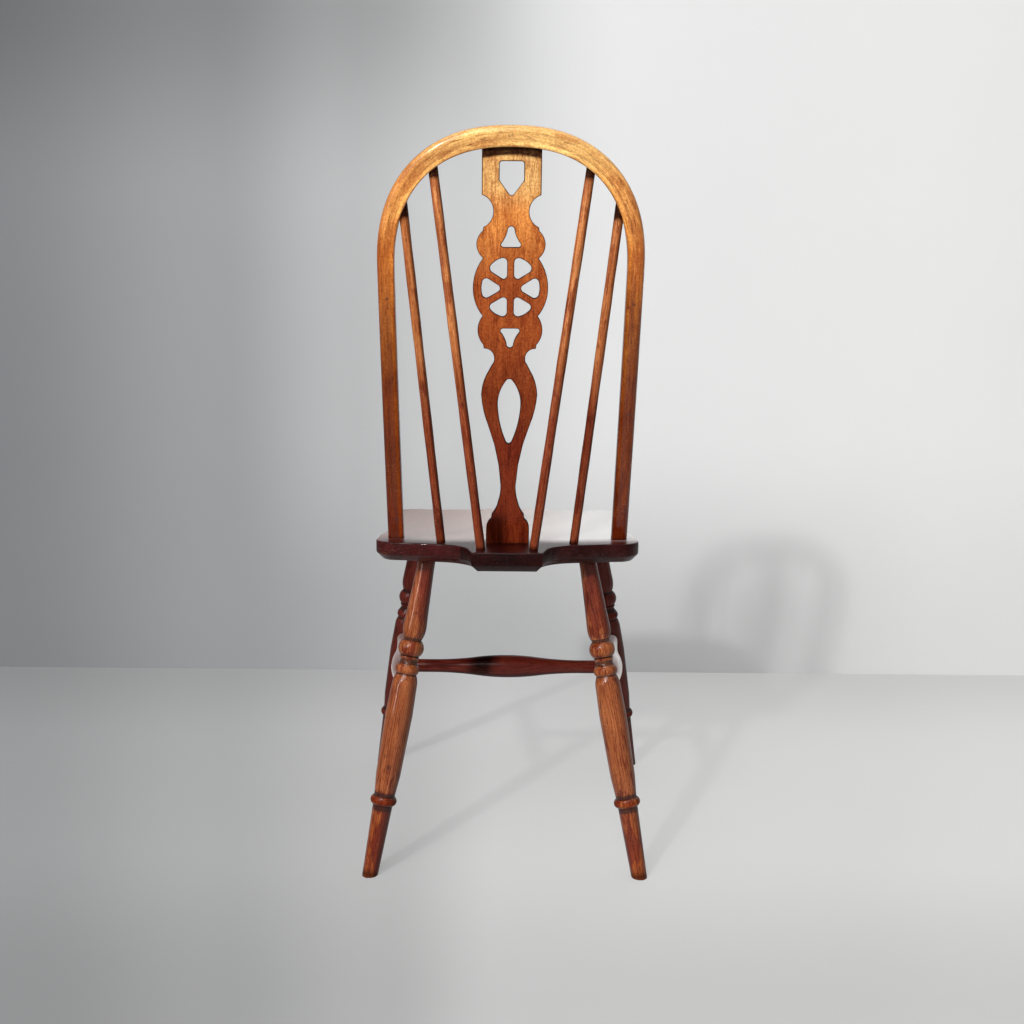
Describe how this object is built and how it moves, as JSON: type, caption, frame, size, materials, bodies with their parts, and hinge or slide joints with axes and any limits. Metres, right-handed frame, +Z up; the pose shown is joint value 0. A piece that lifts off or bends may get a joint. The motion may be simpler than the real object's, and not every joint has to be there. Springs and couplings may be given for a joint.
{
  "type": "wheel-back dining chair",
  "caption": "Bow-back wooden dining chair with a pierced wheel splat, plain sticks, brace sticks on a tail, saddled seat and turned splayed legs with stretchers.",
  "frame": {"origin": "on the floor, under the middle of the chair's bounding box", "axes": "+Z up; the sitter faces +Y, so the back of the chair faces -Y; +X is the sitter's right"},
  "size_m": [0.4466, 0.4894, 0.968],
  "materials": {
    "golden_varnish": "glossy aged varnish",
    "amber_varnish": "glossy aged varnish",
    "russet_varnish": "glossy aged varnish",
    "dark_varnish": "glossy aged varnish, nearly black at the edge",
    "bare_wedge_wood": "bare wood",
    "dark_pin_steel": "darkened steel"
  },
  "bodies": {
    "root": {"seat": "dark_varnish", "bow": "golden_varnish", "bow_wedge_left": "bare_wedge_wood", "bow_wedge_right": "bare_wedge_wood", "stick_left": "amber_varnish", "stick_right": "amber_varnish", "brace_stick_left": "amber_varnish", "brace_stick_right": "amber_varnish", "splat": "amber_varnish", "splat_pin": "dark_pin_steel", "rear_leg_left": "amber_varnish", "rear_leg_right": "amber_varnish", "front_leg_left": "russet_varnish", "front_leg_right": "russet_varnish", "side_stretcher_left": "russet_varnish", "side_stretcher_right": "russet_varnish", "cross_stretcher": "russet_varnish"}
  },
  "joints": []
}
